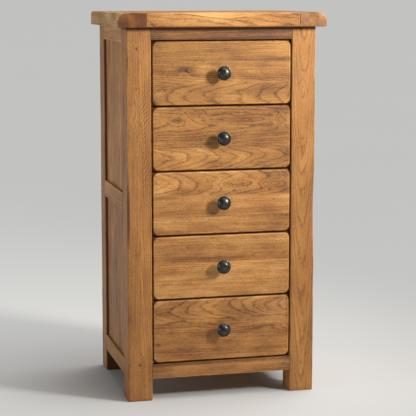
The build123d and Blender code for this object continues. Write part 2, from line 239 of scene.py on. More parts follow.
def oak(name, low, high, turn, look):
    look = {**oakLook, **look}
    material, r = newMaterial(name)
    along, up = (Vector(axis) for axis in grainTurns[turn])
    out = along.cross(up)
    frameTurn = Matrix((along, up, out)).transposed().to_euler()
    centre = (Vector(low) + Vector(high)) / 2
    size = Vector(high) - Vector(low)
    halfLength, halfHeight, halfDepth = (abs(size.dot(axis)) / 2 / mm for axis in (along, up, out))

    # u along the grain, v across the face, w out of the face, in mm from the board's middle
    coords = r.node("ShaderNodeTexCoord", out="Object")
    place = r.node(
        "ShaderNodeMapping",
        {"vector_type": "TEXTURE"},
        {"Vector": coords, "Location": centre, "Rotation": frameTurn, "Scale": (mm, mm, mm)},
    )
    u, v, w = (r.node("ShaderNodeSeparateXYZ", values={0: place}, out=axis) for axis in "XYZ")

    # staves glued edge to edge, counted from the top
    staves = look["staves"]
    jointLines = [(0.5 - share) * 2 * halfHeight for share in look["joints"]]
    below = [r.maths("LESS_THAN", v, line) for line in jointLines]

    def pick(values):
        total = values[0]
        for gate, before, after in zip(below, values, values[1:]):
            if before != after:
                total = gate * (after - before) + total
        return total

    staveNumber = pick([float(i) for i in range(len(staves))])
    shifted = place
    if below:
        jump = r.node("ShaderNodeCombineXYZ", values={"X": staveNumber * 411.0, "Z": staveNumber * 173.0})
        shifted = r.node("ShaderNodeVectorMath", {"operation": "ADD"}, {0: place, 1: jump})
    seed = look["seed"]

    def blotch(size, detail, rough, offset):
        return r.noise(shifted, size, detail, rough, seed + offset)

    def grain(kind):
        return blotch(*grainNoises[kind])

    # distance to the pith line, opened into a cone, with the tree's own wandering
    edges = [halfHeight, *jointLines, -halfHeight]
    middles = [(upper + lower) / 2 for upper, lower in zip(edges, edges[1:])]
    across = v - pick([m + s["pithUp"] for m, s in zip(middles, staves)])
    deep = w - halfDepth + pick([float(s["pithDeep"]) for s in staves])
    reach = r.maths("SQRT", across * across + deep * deep) + u * pick([s["cone"] for s in staves])
    reach = reach + (grain("wander") - 0.5) * (2 * look["waves"])
    reach = reach + (grain("waver") - 0.5) * (2 * look["ripples"])

    def spot(shareAlong, shareDown, halfU, halfV, ripple, lean=None):
        # squared distance from one place on the face, 1 on an oval of that half length and half height
        du = u - (shareAlong - 0.5) * 2 * halfLength
        dv = v - (0.5 - shareDown) * 2 * halfHeight
        if lean is None:
            edge = blotch((halfU, halfV, halfV), 2.0, 0.6, 1.3)
        else:
            edge = grain("crackEdge")
            cosine, sine = math.cos(math.radians(lean)), math.sin(math.radians(lean))
            du, dv = du * cosine + dv * sine, dv * cosine - du * sine
        du, dv = du / halfU, dv / halfV
        return du * du + dv * dv + (edge - 0.5) * ripple

    def mound(distance):
        return r.maths("EXPONENT", -distance)

    def join(first, second, operation="MAXIMUM"):
        return second if first is None else r.maths(operation, first, second)

    dark, stain, seam = None, None, None
    for shareAlong, shareDown, radius, darkness, swirl in look["knots"]:
        distance = spot(shareAlong, shareDown, radius * 1.35, radius, 0.9)
        reach = reach + mound(distance * 0.16) * swirl
        dark = join(dark, r.step(distance, 0.25, 1.25, darkness, 0.0))
    for shareAlong, shareDown, halfU, halfV, swirl in look["eyes"]:
        reach = reach + mound(spot(shareAlong, shareDown, halfU, halfV, 0.25)) * swirl
    for shareAlong, shareDown, halfU, halfV, lean, darkness in look["cracks"]:
        distance = spot(shareAlong, shareDown, halfU, halfV, 2.2, lean)
        dark = join(dark, r.step(distance, 0.1, 1.3, darkness, 0.0))
    # dark streaks in the wood, and painted shadow and painted light where a piece asks for them
    for shareAlong, shareDown, halfU, halfV, darkness in look["streakMarks"]:
        stain = join(stain, mound(spot(shareAlong, shareDown, halfU, halfV, 1.1)) * darkness, "ADD")

    # one ring: open dark spring wood that fades into denser summer wood
    ringCount = reach / pick([s["ring"] for s in staves])
    ringPart = r.maths("FRACT", ringCount)
    spring = r.step(ringPart, 0.0, 0.08) * r.step(ringPart, 0.10, 0.42, 1.0, 0.0)
    ringTone = r.node(
        "ShaderNodeTexWhiteNoise",
        {"noise_dimensions": "1D"},
        {"W": r.maths("FLOOR", ringCount) * 1.37 + staveNumber * 5.1 + seed},
    )
    ringPlace = r.node("ShaderNodeCombineXYZ", values={"X": ringCount * 0.31 + staveNumber * 9.0, "Y": seed})
    slowTone = r.noise(ringPlace, (1.0, 1.0, 1.0), 1.0, 0.5, seed)
    fine, streak, patch = grain("fine"), grain("streak"), grain("patch")
    poreLines = r.step(grain("pores"), 0.56, 0.70)
    dashes = r.step(grain("dashes"), 0.45, 0.66)

    # tone runs from 0, darkest, to 1, lightest
    tone = plainTone + look["tone"] + pick([float(s["tone"]) for s in staves])
    tone = tone - spring * (dashes * 0.5 + 0.5) * look["ringDepth"] - dashes * 0.08
    tone = tone + (ringTone - 0.5) * look["ringVariety"] + (slowTone - 0.5) * (look["ringVariety"] * 1.8)
    tone = tone + (streak - 0.5) * (look["streaks"] * 1.3)
    tone = tone + (patch - 0.5) * look["mottle"] + (grain("wide") - 0.5) * (look["mottle"] * 0.9)
    tone = tone + (fine - 0.5) * 0.16 + (grain("grit") - 0.5) * look["grit"]
    tone = tone - poreLines * (spring * 0.7 + 0.3) * look["pores"]
    tone = tone - r.step(grain("flecks"), 0.60, 0.70) * look["flecks"]
    if stain is not None:
        tone = tone - stain
    for shareAlong, shareDown, halfU, halfV, pitch, lean, strength in look["flames"]:
        cosine, sine = math.cos(math.radians(lean)), math.sin(math.radians(lean))
        crossing = (u * sine + v * cosine) * (2 * math.pi / pitch) + (grain("rayEdge") - 0.5) * 7.0
        tone = tone + r.maths("SINE", crossing) * mound(spot(shareAlong, shareDown, halfU, halfV, 0.8)) * strength

    def facing(way):
        normals = r.node("ShaderNodeTexCoord", out="Normal")
        return r.node("ShaderNodeVectorMath", {"operation": "DOT_PRODUCT"}, {0: normals, 1: way}, out="Value")

    # end grain drinks more finish
    endGrain = r.step(r.maths("ABSOLUTE", facing(along)), 0.55, 0.92)
    tone = tone - endGrain * look["endDark"] * 0.5
    # painted shade just behind the face, in the gaps round a drawer front
    if look["paintedGapShade"]:
        behind = halfDepth - w
        tone = tone - r.step(behind, 0.9, 3.4) * r.step(behind, 4.0, 9.0, 1.0, 0.22) * look["paintedGapShade"]
    # carved facets: a positive amount darkens them, partly as stained wood and partly as painted shade; a negative one
    # lightens them as painted light
    if look["cutDark"]:
        cut = r.node("ShaderNodeAttribute", {"attribute_name": "cut"}, out="Fac")
        tone = tone - cut * look["cutDark"]
    # painted shade on the faces that point one way
    if look["stainedFace"]:
        way, amount = look["stainedFace"]
        tone = tone - r.step(facing(way), 0.5, 0.9) * amount

    # rubbed arrises, partly real wear and partly painted highlight: the middle one of the three distances to the
    # board's own sides
    sideU = halfLength - r.maths("ABSOLUTE", u)
    sideV = halfHeight - r.maths("ABSOLUTE", v)
    sideW = halfDepth - r.maths("ABSOLUTE", w)
    lower = r.maths("MINIMUM", sideU, sideV)
    higher = r.maths("MAXIMUM", sideU, sideV)
    toEdge = r.maths("MAXIMUM", lower, r.maths("MINIMUM", higher, sideW))
    rub = grain("rub") - 0.5
    fromArris = r.maths("ABSOLUTE", toEdge - look["wearAndHighlightInset"]) if look["wearAndHighlightInset"] else toEdge
    wornAndLit = r.step(fromArris + rub * 7.0, 0.3, 3.4, 1.0, 0.0)
    # darker a few mm in from the board's own sides
    nearEdgeDark = r.step(toEdge + rub * 12.0, 2.0, 11.0, 1.0, 0.0) * (1 - wornAndLit)
    tone = tone + wornAndLit * look["wearAndHighlight"] * 0.6 - nearEdgeDark * 0.06

    stops = ((0.0, look["darkest"]), (0.27, look["dark"]), (plainTone, look["middle"]), (0.92, look["light"]))
    colour = r.node("ShaderNodeValToRGB", {"stops": stops}, {"Fac": tone})
    colour = r.mix(r.step(grain("hue"), 0.42, 0.72) * 0.5, colour, redder, "MULTIPLY")
    colour = r.mix(endGrain * 0.8, colour, (*look["endTint"], 1.0), "MULTIPLY")
    colour = r.mix(1.0, colour, (*look["tint"], 1.0), "MULTIPLY")
    for line in jointLines:
        seam = join(seam, r.step(r.maths("ABSOLUTE", v - line), 0.12, 0.55, 1.0, 0.0))

    roughness = look["roughness"] + spring * 0.10 + poreLines * 0.12 + (patch - 0.5) * 0.16 - wornAndLit * 0.08
    roughness = roughness + endGrain * 0.12
    if look["dullUp"]:
        roughness = roughness + r.step(facing((0, 0, 1)), 0.7, 0.95) * look["dullUp"]
    height = (fine - 0.5) * 0.5 - spring * dashes * 0.7 - poreLines * 0.8 + (streak - 0.5) * 0.6
    if dark is not None:
        colour = r.mix(dark, colour, inkDark)
        roughness = roughness + dark * 0.15
        height = height - dark * 1.2
    if seam is not None:
        colour = r.mix(seam * 0.45, colour, glueDark)
        height = height - seam * 1.5
    bump = {"Strength": look["bump"], "Distance": 0.6 * mm, "Height": height}
    finishMaterial(
        r,
        {
            "Base Color": colour,
            "Roughness": roughness,
            "Normal": r.node("ShaderNodeBump", values=bump, out="Normal"),
            "Coat Weight": look["coat"],
            "Coat Roughness": look["coatRoughness"],
            "Specular IOR Level": 0.4,
        },
    )
    return material


# mesh helpers
def newPiece(name, points, faces):
    mesh = bpy.data.meshes.new(name)
    mesh.from_pydata([tuple(p) for p in points], [], faces)
    mesh.update()
    piece = bpy.data.objects.new(name, mesh)
    scene.collection.objects.link(piece)
    return piece


def paintMesh(mesh, material):
    mesh.materials.clear()
    mesh.materials.append(material)


def finishMesh(piece, material, softest=33.0):
    # merges doubles, turns faces outwards and keeps only real arrises sharp
    mesh = piece.data
    bm = bmesh.new()
    bm.from_mesh(mesh)
    bmesh.ops.remove_doubles(bm, verts=bm.verts, dist=2e-6)
    bmesh.ops.dissolve_degenerate(bm, edges=bm.edges, dist=1e-6)
    bmesh.ops.recalc_face_normals(bm, faces=bm.faces)
    for edge in bm.edges:
        edge.smooth = False
        if len(edge.link_faces) == 2:
            small, large = sorted(face.calc_area() for face in edge.link_faces)
            turn = math.degrees(edge.calc_face_angle())
            # a broad flat side next to a narrow eased border stays flat up to its edge
            edge.smooth = turn < 2.0 or (turn < softest and large < small * 14)
    for face in bm.faces:
        face.smooth = True
        face.material_index = 0
    bm.to_mesh(mesh)
    bm.free()
    if "carve" in mesh.attributes:
        mesh.attributes.remove(mesh.attributes["carve"])
    paintMesh(mesh, material)


def storeCarve(piece, ways):
    # the way in which the draw knife may move each point
    carve = piece.data.attributes.new("carve", "FLOAT_VECTOR", "POINT")
    for item, way in zip(carve.data, ways):
        item.vector = way


def bakeModifiers(piece):
    # keeps what the live modifiers make as a plain mesh
    evaluated = piece.evaluated_get(bpy.context.evaluated_depsgraph_get())
    mesh = bpy.data.meshes.new_from_object(evaluated)
    piece.modifiers.clear()
    piece.data = mesh


def runTree(piece, tree, settings):
    modifier = piece.modifiers.new("making", "NODES")
    modifier.node_group = tree
    for item in tree.interface.items_tree:
        if item.item_type == "SOCKET" and item.in_out == "INPUT" and item.name in settings:
            modifier[item.identifier] = settings[item.name]
    bakeModifiers(piece)


def newTree(name, inputs):
    tree = bpy.data.node_groups.new(name, "GeometryNodeTree")
    for label, kind in {"Shape": "NodeSocketGeometry", **inputs}.items():
        tree.interface.new_socket(label, in_out="INPUT", socket_type=kind)
    tree.interface.new_socket("Shape", in_out="OUTPUT", socket_type="NodeSocketGeometry")
    maker = Recipe(tree)
    return tree, maker, lambda label: maker.node("NodeGroupInput", out=label)


def endTree(maker, given, shape):
    shape = maker.node("GeometryNodeRealizeInstances", values={"Geometry": shape})
    shape = maker.node("GeometryNodeSetMaterial", values={"Geometry": shape, "Material": given("Finish")})
    maker.node("NodeGroupOutput", values={"Shape": shape})


# the draw knife: arris points slide along their own carve direction by a slow seeded noise
handCarve, maker, given = newTree(
    "handCarve",
    {"Ripple": "NodeSocketFloat", "Wave": "NodeSocketFloat", "Seed": "NodeSocketFloat", "Finish": "NodeSocketMaterial"},
)
waver = maker.node(
    "ShaderNodeTexNoise",
    {"noise_dimensions": "4D"},
    {
        "Vector": maker.node("GeometryNodeInputPosition"),
        "W": given("Seed"),
        "Scale": maker.maths("DIVIDE", 1.0, given("Wave")),
        "Detail": 2.0,
        "Roughness": 0.55,
    },
)
carveWay = maker.node("GeometryNodeInputNamedAttribute", {"data_type": "FLOAT_VECTOR"}, {"Name": "carve"})
slide = maker.node(
    "ShaderNodeVectorMath",
    {"operation": "SCALE"},
    {0: carveWay, "Scale": (waver - 0.5) * given("Ripple") * 2.0},
)
endTree(maker, given, maker.node("GeometryNodeSetPosition", values={"Geometry": given("Shape"), "Offset": slide}))

# a row of equal boards side by side
boardRow, maker, given = newTree(
    "boardRow", {"Count": "NodeSocketInt", "Step": "NodeSocketVector", "Finish": "NodeSocketMaterial"}
)
row = maker.node(
    "GeometryNodeMeshLine", {"mode": "OFFSET"}, {"Count": given("Count"), "Offset": given("Step")}
)
endTree(maker, given, maker.node("GeometryNodeInstanceOnPoints", values={"Points": row, "Instance": given("Shape")}))


def hollowsAt(place, hollows):
    # long shallow dips: (where, half length, depth), all in metres
    total = 0.0
    for where, half, depth in hollows:
        near = abs(place - where) / half
        if near < 1:
            total += depth * (0.5 + 0.5 * math.cos(math.pi * near))
    return total


arrisShares = [i / 8 for i in range(9)]  # points across one cut arris
ringSize = 4 * (len(arrisShares) + 2)
facetStart = 3.0 * mm  # a cut this wide starts to count as a facet


def cornerPoints(corner, back, on, reachBack, reachOn, swell=0.0, ease=0.9 * mm):
    # one arris, cut as a facet whose two borders are slightly rounded; swell rounds it outwards
    first = corner + back * reachBack
    last = corner + on * reachOn
    span = last - first
    length = span.length
    bite = min(ease, length * 0.18)
    outward = -(back + on).normalized() * swell * length
    points = [first + back * bite]
    ways = [back]
    for share in arrisShares:
        place = min(max(share, bite / length), 1 - bite / length)
        points.append(first + span * place + outward * 4 * place * (1 - place))
        ways.append(back * (1 - share) + on * share)
    points.append(last + on * bite)
    ways.append(on)
    return points, ways


def carvedBar(name, low, high, axis, cuts, stations, endEase, swell=0.0, liveliness=0.25):
    # a bar along one axis; cuts[corner](place) gives how far that arris is cut back on its two sides
    a, b = [i for i in range(3) if i != axis]
    corners = [
        (Vector((low[a], low[b])), Vector((0, 1)), Vector((1, 0))),
        (Vector((high[a], low[b])), Vector((-1, 0)), Vector((0, 1))),
        (Vector((high[a], high[b])), Vector((0, -1)), Vector((-1, 0))),
        (Vector((low[a], high[b])), Vector((1, 0)), Vector((0, -1))),
    ]
    middle = Vector(((low[a] + high[a]) / 2, (low[b] + high[b]) / 2))
    half = Vector(((high[a] - low[a]) / 2, (high[b] - low[b]) / 2))
    places = []
    for i in range(stations + 1):
        places.append((low[axis] + (high[axis] - low[axis]) * i / stations, 0.0))
    places[0] = (low[axis], endEase)
    places[-1] = (high[axis], endEase)
    places.insert(1, (low[axis] + endEase * 0.3, endEase * 0.3))
    places.insert(2, (low[axis] + endEase, 0.0))
    places.insert(-1, (high[axis] - endEase, 0.0))
    places.insert(-1, (high[axis] - endEase * 0.3, endEase * 0.3))
    points, ways, depths = [], [], []
    for place, inset in places:
        scale = Vector(((half.x - inset) / half.x, (half.y - inset) / half.y))
        for index, (corner, back, on) in enumerate(corners):
            reachBack, reachOn = cuts[index](place)
            ring, directions = cornerPoints(corner, back, on, reachBack, reachOn, swell)
            widest = max(reachBack, reachOn)
            lively = liveliness if widest < facetStart + 0.1 * mm else 1.0
            facet = min(1.0, max(0.0, widest / facetStart - 1))
            for i, (point, way) in enumerate(zip(ring, directions)):
                depths.append(facet if 0 < i < len(ring) - 1 else 0.0)
                flat = middle + Vector(((point - middle).x * scale.x, (point - middle).y * scale.y))
                spot = [0.0, 0.0, 0.0]
                spot[a], spot[b], spot[axis] = flat.x, flat.y, place
                points.append(Vector(spot))
                push = [0.0, 0.0, 0.0]
                push[a], push[b] = way.x * lively, way.y * lively
                ways.append(push)
    faces = []
    for i in range(len(places) - 1):
        for j in range(ringSize):
            k = (j + 1) % ringSize
            here, there = i * ringSize, (i + 1) * ringSize
            faces.append((here + j, here + k, there + k, there + j))
    faces.append(tuple(reversed(range(ringSize))))
    faces.append(tuple((len(places) - 1) * ringSize + j for j in range(ringSize)))
    piece = newPiece(name, points, faces)
    storeCarve(piece, ways)
    cut = piece.data.attributes.new("cut", "FLOAT", "POINT")
    for item, depth in zip(cut.data, depths):
        item.value = depth
    return piece


def steady(size):
    return lambda place: (size, size)


print("helpers ready")

# legs: square posts, the outer front arris spokeshaved into a long wavy facet
legLook = {
    "ringVariety": 0.08, "mottle": 0.32, "streaks": 0.20, "ringDepth": 0.26, "waves": 3.0, "tone": -0.06,
    "wearAndHighlight": 0.06, "flecks": 0.14, "pores": 0.24, "grit": 0.24,
}
legShape = {
    "arris": 1.8 * mm, "stations": 110, "endEase": 3.0 * mm, "swell": -0.03, "ripple": 0.6 * mm, "wave": 0.09,
}
# wavyCorner counts round the section from the front left; hollows are (height, half length, depth), in metres
legs = {
    "front_left_leg": {
        "wavyCorner": 0,
        "hollows": [(0.965, 0.05, 2.2 * mm), (0.535, 0.18, 4.8 * mm), (0.18, 0.12, 1.2 * mm)],
        "sideShare": 0.6,
        "look": glued(
            12.0, (0.52,), stave(-34, 40, 0.012, 2.9, -0.01), stave(30, 52, 0.02, 2.9, 0.02),
            tone=-0.12, cutDark=0.26,
            flames=((0.755, 0.72, 75, 12, 8.0, 38, 0.20), (0.62, 0.75, 50, 9, 8.5, 30, 0.13)),
            knots=((0.944, 0.42, 3.6, 0.7, -5), (0.84, 0.40, 3.0, 0.55, -4), (0.10, 0.48, 5.0, 0.6, -7),
            (0.30, 0.35, 2.0, 0.5, -3), (0.47, 0.30, 2.0, 0.5, -3)), eyes=((0.78, 0.40, 60, 10, 5.0),),
            # the last mark is painted shadow under the top's overhang at the post's top end; the one before it is
            # painted light towards the post's top
            streakMarks=((0.5, 0.56, 190, 2.6, -0.14), (0.62, 0.26, 60, 2.0, 0.12), (0.97, 0.5, 170, 70, -0.08),
            (1.0, 0.5, 8, 120, 0.42)),
        ),
    },
    "front_right_leg": {
        "wavyCorner": 1,
        "hollows": [(0.93, 0.09, 1.0 * mm), (0.53, 0.17, 3.8 * mm), (0.30, 0.08, 0.8 * mm)],
        "sideShare": 2.4,
        "look": glued(
            31.0, (), stave(0, 60, -0.03, 2.8, 0.0), tone=-0.05,
            # the second mark is painted shadow under the top's overhang at the post's top end; the first is painted
            # light near the top, the third makes the foot lighter
            streakMarks=((0.98, 0.5, 260, 90, -0.13), (1.0, 0.5, 8, 120, 0.50), (0.0, 0.5, 160, 90, -0.10)),
            knots=((0.70, 0.45, 2.6, 0.5, -4), (0.55, 0.58, 2.2, 0.45, -3), (0.37, 0.40, 2.6, 0.5, -4),
            (0.22, 0.55, 2.2, 0.45, -3), (0.08, 0.46, 2.6, 0.5, -3)), eyes=((0.83, 0.48, 40, 9, 6.0),),
        ),
    },
    "rear_left_leg": {
        "wavyCorner": 3,
        "hollows": [(0.72, 0.2, 2.0 * mm), (0.33, 0.15, 1.5 * mm)],
        "sideShare": 1.0,
        "look": glued(
            # the post's front-facing faces get painted shade
            44.0, (), stave(-30, 55, 0.02, 3.1, -0.12), stainedFace=((0, -1, 0), 0.40),
            knots=((0.45, 0.4, 4.0, 0.5, -5),),
        ),
    },
    "rear_right_leg": {
        "wavyCorner": 2,
        "hollows": [(0.60, 0.2, 2.0 * mm), (0.25, 0.15, 1.5 * mm)],
        "sideShare": 1.0,
        "look": glued(
            # the post's front-facing faces get painted shade
            57.0, (), stave(24, 60, -0.02, 3.1, -0.01), stainedFace=((0, -1, 0), 0.40),
            knots=((0.66, 0.6, 4.5, 0.6, -6),),
        ),
    },
}
for name, leg in legs.items():
    low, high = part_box(name)
    cuts = [steady(legShape["arris"]) for _ in range(4)]

    def wavy(place, leg=leg):
        hollow = hollowsAt(place, leg["hollows"])
        reach = legShape["arris"] + hollow
        side = legShape["arris"] + hollow * leg["sideShare"]
        # the ring of corners runs round the post, so the side comes first at corners 0 and 2
        return (side, reach) if leg["wavyCorner"] in (0, 2) else (reach, side)

    cuts[leg["wavyCorner"]] = wavy
    stations, endEase = legShape["stations"], legShape["endEase"]
    post = carvedBar(name + "_post", low, high, 2, cuts, stations, endEase, swell=legShape["swell"])
    look = {**legLook, **leg["look"]}
    finish = oak(name + "_oak", low, high, "leg", look)
    carving = {"Ripple": legShape["ripple"], "Wave": legShape["wave"], "Seed": look["seed"], "Finish": finish}
    runTree(post, handCarve, carving)
    finishMesh(post, finish)
    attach(post, "carcass")
    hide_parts(name)
print("legs carved")

# top: a wide field between two cross boards, its edges scooped by hand
topPlan = {
    "arris": 2.6 * mm,
    "innerArris": 0.5 * mm,  # where the end boards meet the field
    "fieldHalf": 0.2199,  # the field stops just short of the end boards, its tongues stay hidden
    "ripple": 1.5 * mm,
    "wave": 0.05,
    "frontDip": [(0.008, 0.150, 11.5 * mm), (-0.16, 0.05, 1.2 * mm), (0.18, 0.045, 1.5 * mm)],
    "frontDipBack": 2.6,  # how much further a dip runs back over the top than down the edge
    "rearDip": [(-0.06, 0.12, 3.0 * mm)],
    "sideDip": {"top_left_end": [(-0.03, 0.085, 10.5 * mm)], "top_right_end": [(0.05, 0.10, 6.0 * mm)]},
    "sideDipIn": 2.2,
    "cornerDrop": 19 * mm,
    "cornerIn": 31 * mm,
    "cornerRun": 50 * mm,  # how far back from the front edge a corner scoop reaches
    "rearCornerDrop": 6 * mm,
    "rearCornerRun": 40 * mm,
}
topSkin = {"coat": 0.0, "roughness": 0.58, "dullUp": 0.22, "wearAndHighlight": 0.04}
topLooks = {
    "top_field": glued(
        71.0, (0.24, 0.47, 0.74), stave(20, 70, 0.03, 3.4, 0.0), stave(-60, 45, -0.02, 3.0, -0.05),
        # the negative facet amount paints the carved facets lighter, as painted light
        stave(5, 80, -0.04, 3.2, 0.03), stave(50, 40, 0.02, 2.9, -0.02), tone=0.03, cutDark=-0.22,
        knots=((0.31, 0.36, 6.0, 0.8, -9), (0.78, 0.6, 5.0, 0.7, -8), (0.62, 0.12, 3.0, 0.6, -4)),
        eyes=((0.55, 0.86, 50, 12, 8.0),),
    ),
    "top_left_end": glued(
        83.0, (0.335,), stave(-18, 44, 0.01, 3.0, 0.03), stave(30, 30, 0.02, 2.8, -0.03),
        # the blue tint is a painted reflection of the pale surroundings on the side face, and the end tint offsets it
        # on the end grain; the negative facet amount paints the facets lighter, as painted light
        tone=0.02, tint=(0.94, 1.15, 1.76), cutDark=-0.20, endDark=0.90, endTint=(1.07, 0.70, 0.24),
        # the mark at the front left corner is painted shade in the corner scoop
        knots=((0.6, 0.7, 4.0, 0.6, -5),), streakMarks=((0.0, 0.05, 13, 20, 0.12),),
    ),
    "top_right_end": glued(
        95.0, (0.32, 0.68), stave(22, 40, 0.01, 3.0, 0.10), stave(0, 34, 0.01, 2.9, -0.09),
        stave(-34, 28, 0.02, 2.8, 0.05),
        # the negative facet amount paints the carved facets lighter, as painted light
        tone=0.02, tint=(0.86, 0.93, 1.36), cutDark=-0.16, endDark=0.10, endTint=(1.0, 0.96, 0.98),
    ),
}
arris = topPlan["arris"]
for name, look in topLooks.items():
    low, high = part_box(name)
    cuts = [steady(arris) for _ in range(4)]
    if name == "top_field":
        low.x, high.x = -topPlan["fieldHalf"], topPlan["fieldHalf"]
        # corners of the section, front to back: 0 front low, 1 rear low, 2 rear high, 3 front high
        cuts[3] = lambda place: (
            arris + hollowsAt(place, topPlan["frontDip"]) * topPlan["frontDipBack"],
            arris + hollowsAt(place, topPlan["frontDip"]),
        )
        cuts[2] = lambda place: (
            arris + hollowsAt(place, topPlan["rearDip"]),
            arris + hollowsAt(place, topPlan["rearDip"]) * 1.5,
        )
        board = carvedBar(name + "_board", low, high, 0, cuts, 88, 0.5 * mm, swell=-0.02)
    else:

        def outer(place, name=name, low=low, high=high):
            dip = hollowsAt(place, topPlan["sideDip"][name])
            front = hollowsAt(place, [(low.y, topPlan["cornerRun"], 1.0)])
            rear = topPlan["rearCornerDrop"] * hollowsAt(place, [(high.y, topPlan["rearCornerRun"], 1.0)])
            down = arris + dip + topPlan["cornerDrop"] * front + rear
            inward = arris + dip * topPlan["sideDipIn"] + topPlan["cornerIn"] * front + rear
            return (inward, down) if name == "top_left_end" else (down, inward)

        cuts[3 if name == "top_left_end" else 2] = outer
        inner = (1, 2) if name == "top_left_end" else (0, 3)
        for corner in inner:
            cuts[corner] = steady(topPlan["innerArris"])
        board = carvedBar(name + "_board", low, high, 1, cuts, 96, 2.4 * mm, swell=0.205)
    finish = oak(name + "_oak", low, high, "top" if name == "top_field" else "topEnd", {**topSkin, **look})
    carving = {"Ripple": topPlan["ripple"], "Wave": topPlan["wave"], "Seed": look["seed"], "Finish": finish}
    runTree(board, handCarve, carving)
    finishMesh(board, finish)
    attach(board, "carcass")
    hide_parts(name)
print("top carved")

# drawer fronts: square boards whose faces are carved back to soft rounded rectangles
frontPlan = {
    "inset": 2.3 * mm,
    "cornerRadius": 15.5 * mm,
    "slope": 1.5,  # how deep the carved border goes for each unit of its width
    "oversize": 1.0 * mm,
    "lip": 1.1 * mm,  # the rounded border between the face and the slope, outside and inside its line
    "roll": 1.3 * mm,
    "cornerSteps": 8,
    "longSteps": 60,
    "shortSteps": 26,
    "ripple": 1.5 * mm,
    "wave": 0.035,
    # painted shade in the gaps round each front, and a painted highlight line along the border of its carved face
    "skin": {"paintedGapShade": 0.85, "wearAndHighlightInset": 3.4},
}
frontLooks = {
    "drawer_1_front": glued(
        3.0, (0.31, 0.66), stave(60, 60, 0.02, 3.3, -0.01), stave(-46, 50, 0.03, 3.2, -0.02),
        stave(-4, 88, -0.065, 3.6, 0.03), tone=-0.035, tint=(0.97, 1.0, 0.89),
        knots=((0.235, 0.455, 5.0, 0.45, -16), (0.78, 0.47, 1.8, 0.8, -3), (0.80, 0.72, 1.8, 0.8, -3),
        (0.085, 0.755, 1.8, 0.8, -3), (0.515, 0.15, 1.6, 0.7, -2), (0.36, 0.32, 1.5, 0.7, -2)),
        cracks=((0.248, 0.475, 10, 2.8, -32, 1.0),),
        streakMarks=((0.225, 0.45, 27, 12, 0.24), (0.94, 0.30, 34, 5, 0.26), (0.0, 0.45, 90, 80, 0.10)),
    ),
    "drawer_2_front": glued(
        9.0, (0.64,), stave(12, 74, 0.018, 3.4, 0.0), stave(2, 80, 0.075, 3.4, 0.0),
        tone=-0.10, tint=(1.0, 1.02, 0.95), knots=((0.18, 0.21, 4.0, 0.25, -14), (0.52, 0.63, 1.6, 0.6, -2)),
        eyes=((0.32, 0.12, 28, 8, 10.0), (0.58, 0.22, 100, 10, 12.0), (0.935, 0.24, 16, 20, 9.0)),
        streakMarks=((0.18, 0.21, 25, 7, 0.26), (0.46, 0.88, 26, 8, 0.12), (0.40, 0.59, 24, 4, 0.14)),
    ),
    "drawer_3_front": glued(
        17.0, (0.38, 0.72), stave(4, 84, 0.07, 3.5, 0.0), stave(70, 40, 0.01, 3.0, 0.01),
        stave(-58, 46, 0.02, 2.9, -0.01), flecks=0.28, knots=((0.88, 0.48, 2.2, 0.75, -4),),
        eyes=((0.60, 0.20, 42, 12, 12.0), (0.88, 0.22, 34, 12, 13.0), (0.96, 0.08, 12, 8, 8.0)),
        streakMarks=((0.60, 0.22, 44, 6, 0.18),),
    ),
    "drawer_4_front": glued(
        24.0, (0.43,), stave(-66, 44, 0.012, 3.1, -0.02), stave(64, 40, -0.012, 3.0, 0.08), tone=-0.01, streaks=0.30,
        knots=((0.25, 0.19, 2.4, 0.8, -4), (0.725, 0.35, 1.6, 0.8, -2), (0.95, 0.30, 1.6, 0.8, -2),
        (0.70, 0.60, 1.6, 0.7, -2)), streakMarks=((0.50, 0.37, 150, 8, 0.14), (0.50, 0.84, 170, 10, 0.07)),
    ),
    "drawer_5_front": glued(
        36.0, (0.32,), stave(2, 84, -0.085, 3.4, 0.01), stave(58, 52, -0.02, 3.1, -0.02), tone=-0.07,
        knots=((0.39, 0.06, 2.2, 0.7, -5),), eyes=((0.85, 0.46, 70, 16, 12.0),),
        streakMarks=((0.20, 0.44, 90, 5, 0.14), (0.84, 0.50, 70, 6, 0.10), (0.03, 0.72, 9, 7, 0.30)),
        cracks=((0.62, 0.90, 6, 1.4, -12, 0.8),),
    ),
}


